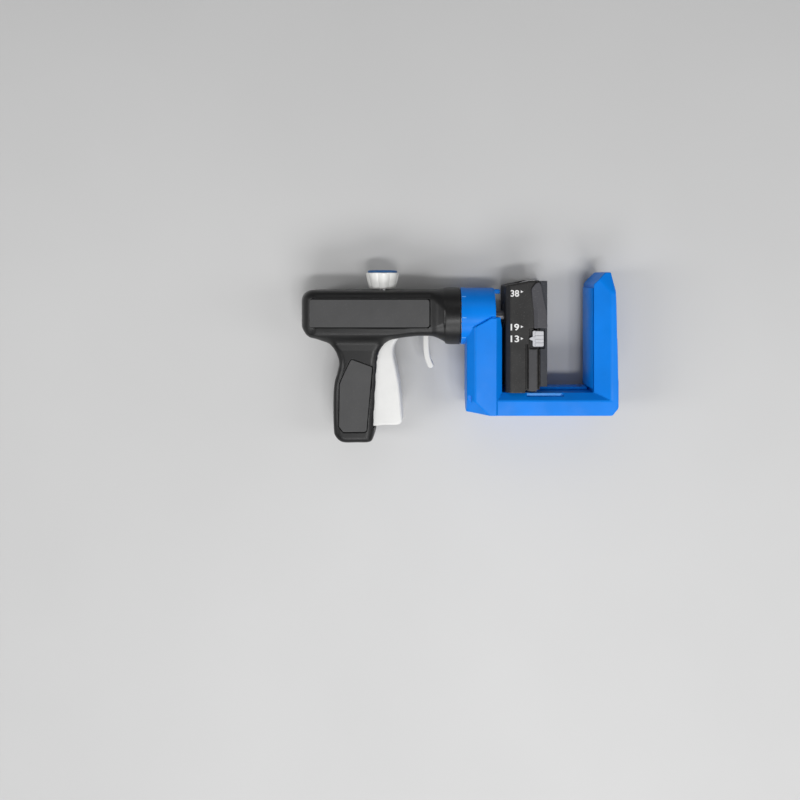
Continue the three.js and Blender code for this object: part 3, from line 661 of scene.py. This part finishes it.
def build_frame():
    """The C-frame, its index marks, an edge strip in paler blue painted as a highlight, and anvil pad."""
    mesh = mould("clamp_frame", frame_field, (24.8, -89.5, -27), (168, 41.5, 27), 1.0)
    finish_piece("clamp_frame", mesh, "head", "blue_plastic", BLUE, ["c_frame"])

    def pad(x, y, z):
        face = 144 + 2.7 * (np.abs(z) / 20.3) ** 3 - x
        return both(block_of(x, y, z, [(143, 146.8), (-66, 26.8), (-20.3, 20.3)], 0.3), face, 0.3)

    mesh = mould("anvil_face", pad, (144, -66, -20.3), (146.8, 26.8, 20.3), 0.6)
    finish_piece("anvil_face", mesh, "head", "blue_plastic", BLUE, ["anvil_pad"])
    # Thin strips along the bar's inner edge, in the paler blue that paints the highlight on the wall's lit top
    # edge.
    for name, side in (("right", 1), ("left", -1)):
        def ledge(x, y, z, side=side):
            end = 0.83 * (x - 117.6) - 0.55 * (y + 69.6)
            strip = block_of(x, y, side * z, [(85.3, 122), (-72.1, -69.7), (20, 20.95)], 0.2)
            return both(both(strip, end, 0.2), y + 69.6, 0.2)

        span = sorted((side * 20, side * 21))
        mesh = mould(f"bar_ledge_{name}", ledge, (85, -72.2, span[0]), (120, -69.6, span[1]), 0.3)
        finish_piece(f"bar_ledge_{name}", mesh, "head", "blue_plastic", LEDGE_HIGHLIGHT_BLUE)
    for i in range(8):
        turn = (i + 0.5) * math.pi / 4 + math.pi / 8

        def mark(x, y, z, turn=turn):
            across = y * math.cos(turn) + z * math.sin(turn)
            out = -y * math.sin(turn) + z * math.cos(turn)
            face = both(np.abs(x - 27.6) - 1.9, np.abs(across) - 0.4, 0.2)
            return both(face, np.maximum(out - 26.98, 26.3 - out), 0.15)

        mid = np.array([27.6, -26.6 * math.sin(turn), 26.6 * math.cos(turn)])
        mesh = mould(f"index_mark_{i + 1}", mark, mid - 2.2, mid + 2.2, 0.22)
        finish_piece(f"index_mark_{i + 1}", mesh, "head", "blue_plastic", TICK)


# ---- Guide block, its drill guide and slider ----
def guide_side(x, y, away):
    """The block's outer form: flat sides, a sloped back edge and a crest with small slopes to each side."""
    back = ((65.7 - x) + (away - 20.5) * 0.9) * 0.74
    crest = np.interp(x, [65, 88, 97], [28.9, 33.6, 33.6])
    body = both(both(away - 25, back, 0.6), both(y - crest, 65.7 - x, 0.8), 0.6)
    return both(body, (y - crest + away - 24) * 0.707, 0.6)


def slider_recess(x, y, z):
    """The shallow pocket that the thumb slider rests in at its lowest stop."""
    return np.maximum(round_rect(x - 94, y - SLIDER_Y, 7.2, 9.3, 1.2), 23 - z)


def block_field(x, y, z):
    """The guide block: a channel open to the board, with a shoe seat below and a slider slot on the side where z
    is above zero.
    """
    away = np.abs(z)
    foot = np.interp(x, [65, 83.9, 84.1, 100], [-69, -69, -66.5, -66.5])
    body = both(guide_side(x, y, away), np.maximum(foot - y, x - 96.6), 0.5)
    groove = both(np.abs(x - 84.7) - 1.4, np.maximum(21.4 - away, np.maximum(-70 - y, y + 24.5)), 0.2)
    step = both(np.abs(x - 95.2) - 0.75, np.maximum(21.8 - away, np.maximum(-70 - y, y + 28.6)), 0.2)
    slot = np.maximum(np.abs(x - 92.8) - 1.6, np.maximum(np.abs(y - 1) - 25, 15 - z))
    cuts = [
        (slider_recess(x, y, z), 0.3), (groove, 0.25), (slot, 0.3),
        (block_of(x, y, z, [(79.2, 130), (-60, 80), (-19.7, 19.7)]), 0.6),
        (block_of(x, y, z, [(50, 130), (-90, -63.7), (-12.3, 12.3)]), 0.4),
        (bar_x(x, y, z, 12.3, (50, 71.6)), 0.4), (step, 0.25),
    ]
    for part, r in cuts:
        body = without(body, part, r)
    return body


def pad_field(side):
    """A face pad: the block's upright pressing edge, with room for the slider."""
    outline = [(96.9, -63), (103.3, -63), (103.3, 33.4), (96.9, 33.4)]

    def field(x, y, z):
        away = side * z
        shape = both(outline_field(x, y, outline), np.maximum(away - 25, 19.8 - away), 0.5)
        return without(shape, slider_recess(x, y, z), 0.3)
    return field


def build_block():
    """The block and its two face pads."""
    mesh = mould("guide_body", block_field, (65.7, -69, -25), (97, 34, 25), 0.8)
    finish_piece("guide_body", mesh, "carriage", "guide_plastic", GUIDE, ["guide_block"])
    for name, side in (("right", 1), ("left", -1)):
        span = sorted((side * 19.8, side * 25.4))
        mesh = mould(f"press_pad_{name}", pad_field(side), (96.9, -63, span[0]), (103.3, 33.4, span[1]), 0.5)
        finish_piece(f"press_pad_{name}", mesh, "carriage", "rubber", PAD, [f"face_pad_{name}"])


COVER_OUTLINE = smooth_outline([
    (90.2, -9.2), (96.5, -9.4), (102.8, -9.2), (102.85, -3), (102.8, 2.6), (99.8, 16.8), (96.9, 30.6),
    (93.4, 31.5), (90.4, 28.4), (88.7, 24.6), (90, 12), (90.2, 2),
], 3)


def cover_field(x, y, z):
    """The cover that leans with the drill: a ridge runs up it, and its two faces fall away to each side."""
    ridge = np.interp(y, [-9, 7.5, 25.4, 32], [94.5, 94.2, 89.2, 88.4])
    crown = 26.8 - 0.36 * np.maximum(ridge - x, 0) - 0.03 * np.maximum(x - ridge, 0)
    return both(outline_field(x, y, COVER_OUTLINE), np.maximum(z - crown, 25.25 - z), 0.45)


def build_strips():
    """The rubber strip let in between the long groove and the face pad, on each side."""
    for name, side in (("right", 1), ("left", -1)):
        def strip(x, y, z, side=side):
            away = side * z
            outline = round_rect(x - 90.1, y + 48.3, 3.6, 18.9, 0.6)
            return both(outline, np.maximum(away - 25.25, 24.6 - away), 0.3)

        span = sorted((side * 24.5, side * 25.3))
        mesh = mould(f"side_strip_{name}", strip, (86, -68, span[0]), (94, -29, span[1]), 0.35)
        finish_piece(f"side_strip_{name}", mesh, "carriage", "rubber", STRIP)


def build_cover():
    """The leaning cover above the slider; it rises with the drill guide."""
    mesh = mould("leaning_cover", cover_field, (88, -10, 25.2), (103, 32, 26.8), 0.4)
    finish_piece("leaning_cover", mesh, "guide", "guide_plastic", COVER, ["guide_cover"])


POINTER = [(91, -17.1), (91, -21.3), (88.6, -20.6), (86.9, -19.7), (86.9, -18.7), (88.6, -17.8)]
WEDGE_FACES = [[0, 1, 2], [3, 5, 4], [0, 3, 4], [0, 4, 1], [1, 4, 5], [1, 5, 2], [2, 5, 3], [2, 3, 0]]
FIGURE_SIZE = (7.7, 6.1, 0.07)


def slider_field(x, y, z):
    """The white thumb slider: a waved top for grip, a pointer, and a stem through the slot."""
    rise = y - SLIDER_Y
    groove = np.maximum(0, np.cos(rise * 2 * np.pi / 3.3)) ** 3
    wave = 26.95 - 0.55 * groove * (np.abs(rise) < 5.8)
    base = both(round_rect(x - 94.75, rise, 4.95, 7.2, 1.3), np.maximum(z - 26.1, 25.4 - z), 0.3)
    ribbed = both(round_rect(x - 95.9, rise, 3.8, 6.9, 1), np.maximum(z - wave, 25.4 - z), 0.3)
    pad = either(base, ribbed, 0.3)
    pointer = both(outline_field(x, y, POINTER), np.maximum(z - 26.4, 25.4 - z), 0.3)
    stem = block_of(x, y, z, [(91.5, 94.1), (-22.8, -16.9), (19.6, 26.2)], 0.3)
    return either(either(pad, pointer, 0.4), stem, 0.3)


def build_slider():
    """The slider and the printed scale beside it."""
    mesh = mould("thumb_slider", slider_field, (86.6, -26.4, 19.4), (99.8, -12, 27), 0.28)
    finish_piece("thumb_slider", mesh, "guide", "white_plastic", SLIDER_GREY, ["thickness_slider"])
    for label, height, point in (("38", 22, 23.5), ("19", -8.8, -8.4), ("13", -19.4, -19.2)):
        curve = bpy.data.curves.new(f"mark_{label}", "FONT")
        curve.body = label
        curve.extrude = 0.01
        curve.offset = 0.02
        text = bpy.data.objects.new("text", curve)
        bpy.context.scene.collection.objects.link(text)
        bpy.context.view_layer.update()
        mesh = bpy.data.meshes.new_from_object(text.evaluated_get(bpy.context.evaluated_depsgraph_get()))
        bpy.data.objects.remove(text)
        co = np.zeros(len(mesh.vertices) * 3)
        mesh.vertices.foreach_get("co", co)
        co = co.reshape(-1, 3)
        low, high = co.min(0), co.max(0)
        co = (co - (low + high) / 2) / (high - low) * np.array(FIGURE_SIZE)
        mesh.vertices.foreach_set("co", ((co + np.array([73.7, height, 25.04])) * MM + ORIGIN).ravel())
        mesh.name = f"mark_{label}"
        finish_piece(f"mark_{label}", mesh, "carriage", "white_plastic", PRINT)
        arrow = np.array([[79.1, point + 1.2, 25.02], [79.1, point - 1.2, 25.02], [81.4, point, 25.02]])
        points = np.concatenate([arrow, arrow + [0, 0, 0.07]])
        mesh = outward(to_mesh(f"arrow_{label}", points, np.array(WEDGE_FACES), crease=30))
        finish_piece(f"arrow_{label}", mesh, "carriage", "white_plastic", PRINT)


def build_guide():
    """The sliding drill guide with its two leaning steel bushes."""
    def leaning(x, y):
        dx, dy = x - BUSH_TOP[0], y - BUSH_TOP[1]
        down = dy * -math.cos(LEAN) + dx * math.sin(LEAN)
        across = dx * math.cos(LEAN) + dy * math.sin(LEAN)
        return down, across

    outline = [(79.6, -45), (102.7, -45), (102.7, 3), (97.2, 31), (79.6, 31)]

    def body(x, y, z):
        across = leaning(x, y)[1]
        shape = both(outline_field(x, y, outline), np.abs(z) - 19.3, 0.7)
        for bz in (BUSH_Z, -BUSH_Z):
            shape = without(shape, np.hypot(across, z - bz) - 6.6, 0.4)
        return without(shape, both(np.abs(x - 91) - 4, np.abs(np.abs(z) - 18.6) - 1, 0.2) + 0.4, 0.3)

    mesh = mould("sliding_guide", body, (79.6, -45, -19.4), (102.8, 31, 19.4), 0.75)
    finish_piece("sliding_guide", mesh, "guide", "guide_plastic", GUIDE, ["guide_slide"])
    for number, bz in ((1, BUSH_Z), (2, -BUSH_Z)):
        def bush(x, y, z, bz=bz):
            down, across = leaning(x, y)
            away = np.hypot(across, z - bz)
            wall = both(away - 6.3, 4.8 + np.maximum(0.4 - down - 1.4, 0) - away, 0.3)
            return both(wall, np.maximum(-1.9 - down, x - 102.6), 0.3)

        mesh = mould(f"leaning_bush_{number}", bush, (80, -46, bz - 6.5), (103, 35, bz + 6.5), 0.45)
        finish_piece(f"leaning_bush_{number}", mesh, "guide", "bright_steel", STEEL, [f"drill_bush_{number}"])


# ---- Lever, release trigger and knob ----
LEVER_CURVE = smooth_outline(LEVER_OUTLINE, 4)
LEVER_HOLLOW = [
    (-41, -30), (-39.5, -42), (-36.5, -52), (-34, -76), (-33, -97), (-80, -97), (-80, -26), (-50, -26),
]
LEVER_FORK = [(-37, -11), (-30, -11), (-27.4, -1), (-27.4, 5), (-31, 5), (-36.4, -4)]


def lever_field(x, y, z):
    """The squeeze lever: its outline given width with soft edges, hollow from behind, forked at the ram."""
    away = np.abs(z)
    crown = 0.004 * away * away * np.interp(x, [-48, -42], [0, 1]) * np.interp(y, [-99, -90], [0, 1])
    body = both(outline_field(x, y, LEVER_CURVE) + crown, away - 13, 2.2)
    pocket = both(outline_field(x, y, LEVER_HOLLOW), away - 10.3, 1)
    body = without(body, pocket, 0.5)
    boss = bar_z(x, y, z, 4.3, (-13, 13), LEVER_PIVOT)
    fork = both(outline_field(x, y, LEVER_FORK), away - 10.5, 0.5)
    fork = without(fork, block_of(x, y, z, [(-60, 0), (-5.7, 20), (-6.4, 6.4)]), 0.3)
    body = either(either(body, boss, 1), fork, 0.6)
    body = both(body, np.where(y > -5.6, 6.4 - away, -5.0), 0.1)
    return without(body, np.hypot(x - LEVER_PIVOT[0], y - LEVER_PIVOT[1]) - 2.3, 0.3)


FINGER_LINE = [(-7.5, -15.5), (-7.5, -28), (-7.1, -34), (-6.2, -39), (-4.9, -43), (-3.3, -46.4)]


def trigger_field(x, y, z):
    """The release finger: a strip whose middle line hangs straight, then curves forward to a round tip."""
    strip = None
    for (x1, y1), (x2, y2) in zip(FINGER_LINE[:-1], FINGER_LINE[1:]):
        ex, ey = x2 - x1, y2 - y1
        along = np.clip(((x - x1) * ex + (y - y1) * ey) / (ex ** 2 + ey ** 2), 0, 1)
        gap = np.hypot(x - x1 - ex * along, y - y1 - ey * along) - 2.7
        strip = gap if strip is None else np.minimum(strip, gap)
    body = both(strip, np.abs(z) - 5.4, 1.2)
    boss = bar_z(x, y, z, 2.8, (-5.5, 5.5), TRIGGER_PIVOT)
    arm = block_of(x, y, z, [(-10.3, -8.3), (-13.5, -8.4), (-4, 4)], 0.4)
    body = either(either(body, boss, 0.8), arm, 0.4)
    return without(body, np.hypot(x - TRIGGER_PIVOT[0], y - TRIGGER_PIVOT[1]) - 1.8, 0.3)


def build_levers():
    """The white lever and trigger."""
    mesh = mould("grip_lever", lever_field, (-61, -101.5, -13), (-27, 5.2, 13), 0.7)
    finish_piece("grip_lever", mesh, "lever", "white_plastic", WHITE, ["squeeze_lever"])
    mesh = mould("release_finger", trigger_field, (-10.6, -49.6, -5.5), (-0.5, -8, 5.5), 0.42)
    finish_piece("release_finger", mesh, "trigger", "white_plastic", WHITE, ["release_trigger"])


def build_knob():
    """The force knob: its radius grows upwards, and eight broad flats are pressed round it.

    The radius at angle a is the cone's radius less a share of how far the flat's middle lies inside
    the circle, so ridges stay on the cone and flats cut in by up to 1.35 mm.
    """
    height = np.array([25.65, 25.9, 27, 30, 34, 38, 39.0, 39.7, 40.4, 40.8, 40.9, 40.8, 40.4])
    cone = np.array([11.2, 12.2, 12.75, 13.6, 14.6, 15.55, 15.8, 15.95, 15.9, 15.6, 15.2, 14.6, 14.35])
    cut = np.array([0.5, 0.8, 1, 1, 1, 1, 1, 0.8, 0.3, 0, 0, 0, 0])
    angle = np.arange(256) / 256 * 2 * np.pi
    flat = 1 - np.abs(np.cos(4 * (angle + 0.2))) ** 0.8
    radius = cone[:, None] - 1.35 * cut[:, None] * flat[None, :]
    rows = [np.zeros_like(angle) + 0.02] + list(radius) + [np.zeros_like(angle) + 0.02]
    levels = np.concatenate([[height[0]], height, [height[-1]]])
    radius = np.array(rows)
    points = np.stack([
        KNOB_X + radius * np.cos(angle), levels[:, None] + 0 * angle, radius * np.sin(angle),
    ], -1).reshape(-1, 3)
    mesh = to_mesh("force_dial", points, grid_faces(len(levels), len(angle)), crease=28)
    outward(mesh)
    finish_piece("force_dial", mesh, "knob", "knob_satin", SATIN, ["force_knob"])
    cap = soften_profile([(0, 40.6), (14.0, 40.6), (14.0, 42.5), (13.2, 43.2), (6, 43.45), (0, 43.48)], 0.5)
    mesh = turned("dial_cap", cap, "y", (KNOB_X, 0, 0))
    finish_piece("dial_cap", mesh, "knob", "blue_plastic", CAP_BLUE, ["knob_cap"])


# ---- Round metal parts ----
def build_round_parts():
    """Turned parts: a profile of radius and place carried round the ram's axis or a pivot."""
    def ring(bore, r, start, end, edge=0.4):
        return [
            (bore, start + edge), (bore + edge, start), (r - edge, start), (r, start + edge),
            (r, end - edge), (r - edge, end), (bore + edge, end), (bore, end - edge),
        ]

    def shaft(r, start, end, edge=0.5):
        return [(0, start), (r - edge, start), (r, start + edge), (r, end - edge), (r - edge, end), (0, end)]

    spigot = [
        (9.3, 10.4), (9.7, 10), (19.1, 10), (19.5, 10.4), (19.5, 15.2), (19.1, 15.6), (17, 15.6), (17, 50.5),
        (15.5, 50.5), (15.5, 52.6), (17, 52.6), (17, 53.6), (16.6, 54), (9.7, 54), (9.3, 53.6),
    ]
    parts = [
        ("ram_shaft", shaft(RAM_R, -116, 68), None, "ram", "dark_steel", "ram_rod"),
        ("ram_head", shaft(9, 68.3, 71.2), None, "ram", "dark_steel", "ram_tip"),
        ("ram_stop", ring(5.3, 8, -116, -112), None, "ram", "dark_steel", "ram_collar"),
        ("spigot_clip", ring(15.8, 19.9, 50.8, 52.3, 0.2), None, "handle", "dark_steel", "retaining_ring"),
        ("nose_bush", ring(5.3, 9, 42, 53.8), None, "handle", "bronze", "front_bush"),
        ("tail_bush", ring(5.3, 11, -79, -71), None, "handle", "bronze", "rear_bush"),
        ("hub_liner", ring(17.3, 20, 27, 47.4), None, "head", "acetal", "hub_bush"),
        ("keeper_disc", ring(5.4, 12, 65.8, 68), None, "carriage", "dark_steel", "ram_keeper"),
        ("lever_axle", shaft(2, -17, 17), LEVER_PIVOT, "handle", "bright_steel", "lever_pin"),
        ("trigger_axle", shaft(1.5, -13, 13), TRIGGER_PIVOT, "handle", "bright_steel", "trigger_pin"),
        ("nose_tube", spigot, None, "handle", "acetal", "nose_spigot"),
    ]
    for name, profile, pivot, body, slot, node in parts:
        axis, centre = ("z", (*pivot, 0)) if pivot else ("x", (0, 0, 0))
        mesh = turned(name, profile, axis, centre)
        finish_piece(name, mesh, body, slot, SLOT_MATERIALS[slot], [node])


# ---- Flat parts: the frame's own solids with softened edges ----
def soften(node, width, slot, material, body):
    """A merged copy of a solid with its flat faces made whole and its edges bevelled."""
    mesh = frame["nodes"][node].data.copy()
    work = bmesh.new()
    work.from_mesh(mesh)
    bmesh.ops.remove_doubles(work, verts=work.verts, dist=2e-6)
    bmesh.ops.dissolve_limit(work, angle_limit=math.radians(2), verts=work.verts, edges=work.edges)
    work.to_mesh(mesh)
    work.free()
    mesh.name = f"soft_{node}"
    piece = finish_piece(f"soft_{node}", mesh, body, slot, material, [node])
    edge = piece.modifiers.new("edges", "BEVEL")
    edge.width = width * MM
    edge.segments = 2
    edge.limit_method = "ANGLE"
    edge.angle_limit = math.radians(35)


def build_flat_parts():
    """Rail, rail shoe, plates, force nut and its shoe."""
    for node, width, slot, body in (
        ("frame_rail", 0.3, "blue_plastic", "head"), ("rail_shoe", 0.3, "acetal", "carriage"),
        ("index_plate", 0.1, "dark_steel", "head"), ("drive_plate", 0.3, "dark_steel", "drive"),
        ("brake_plate", 0.3, "dark_steel", "brake"), ("force_nut", 0.3, "bronze", "nut"),
        ("force_shoe", 0.3, "acetal", "handle"),
    ):
        soften(node, width, slot, SLOT_MATERIALS[slot], body)


def build_springs():
    """The springs, as copies in spring wire with their place baked in; their end points are worked out but not
    used, so each keeps its length.
    """
    for node, body, axis, moving in (
        ("lever_spring", "lever", 0, 1), ("drive_spring", "drive", 0, 0),
        ("brake_spring", "brake", 0, 0), ("force_spring", "nut", 1, 1),
    ):
        ends = [list(corner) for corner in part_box(node)]
        middle = [(low + high) / 2 for low, high in zip(*ends)]
        start, end = list(middle), list(middle)
        start[axis], end[axis] = ends[1 - moving][axis], ends[moving][axis]
        mesh = frame["nodes"][node].data.copy()
        mesh.name = f"live_{node}"
        outward(mesh)
        mesh.materials.clear()
        mesh.materials.append(WIRE)
        piece = bpy.data.objects.new(f"live_{node}", mesh)
        bpy.context.scene.collection.objects.link(piece)
        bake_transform(piece)
        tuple(start)
        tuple(end)
        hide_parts(node)


def dress_solids():
    """The solids that stay as they are take their slot's material."""
    slots = {part["node"]: part["material_slot"] for part in frame["record"]["subparts"]}
    for name, solid in frame["nodes"].items():
        solid.data.materials.clear()
        solid.data.materials.append(SLOT_MATERIALS[slots[name]])


# ---- Floor, light and camera ----
def build_stage():
    """A pale floor that runs out of view, soft lights from above, and the camera over the tool."""
    far = 3.0
    points = np.array([[-far, -far, 0], [far, -far, 0], [far, far, 0], [-far, far, 0]]) / MM
    mesh = to_mesh("floor", points - ORIGIN / MM, np.array([[0, 1, 2, 3]]))
    material, nodes, links, shader = node_material("pale_floor", (0.55, 0.55, 0.55), 0.7)
    tone = ramp(nodes, links, noise(nodes, links, 3, 3), [(0.3, (0.54,) * 3), (0.7, (0.57,) * 3)])
    links.new(tone, shader.inputs["Base Color"])
    mesh.materials.append(material)
    floor = bpy.data.objects.new("floor", mesh)
    bpy.context.scene.collection.objects.link(floor)

    bpy.context.scene.view_settings.view_transform = "Standard"
    world = bpy.data.worlds.new("soft_room")
    world.use_nodes = True
    world.node_tree.nodes["Background"].inputs["Color"].default_value = (1, 1, 1, 1)
    world.node_tree.nodes["Background"].inputs["Strength"].default_value = 0.19
    bpy.context.scene.world = world

    def softbox(name, place, aim, size, power):
        light = bpy.data.lights.new(name, "AREA")
        light.shape = "RECTANGLE"
        light.size, light.size_y = size
        light.energy = power
        lamp = bpy.data.objects.new(name, light)
        lamp.location = place
        direction = np.array(aim) - np.array(place)
        lamp.rotation_euler = beam_turn(direction)
        bpy.context.scene.collection.objects.link(lamp)

    softbox("far_light", (-0.1, 1.3, 1.1), (0, 0, 0), (1.3, 0.5), 1.8)
    softbox("near_light", (0.1, -1.25, 1.2), (0, 0, 0), (1.5, 0.6), 15.5)
    softbox("left_light", (-1.3, -0.1, 1.0), (0, 0, 0), (0.4, 0.8), 7)
    softbox("right_light", (1.35, -0.1, 1.0), (0, 0, 0), (0.5, 0.9), 6)
    softbox("hub_light", (0.1, -0.36, 1.33), (0, 0, 0), (0.4, 0.12), 4.5)
    softbox("corner_light", (0.45, -0.34, 1.33), (0, 0, 0), (0.08, 0.1), 1.5)

    eye = bpy.data.cameras.new("camera")
    eye.lens = EYE_LENS
    eye.shift_x, eye.shift_y = EYE_SHIFT
    eye.clip_start = 0.01
    camera = bpy.data.objects.new("camera", eye)
    camera.location = tuple(np.array(EYE) * MM + ORIGIN)
    bpy.context.scene.collection.objects.link(camera)
    bpy.context.scene.camera = camera


def beam_turn(direction):
    """The turn that points a lamp's beam along a direction."""
    return Vector(direction).to_track_quat("-Z", "Y").to_euler()


build_stage()
dress_solids()
build_shells()
build_shell_screws()
build_frame()
build_block()
build_strips()
build_cover()
build_slider()
build_guide()
build_levers()
build_knob()
build_round_parts()
build_flat_parts()
build_springs()
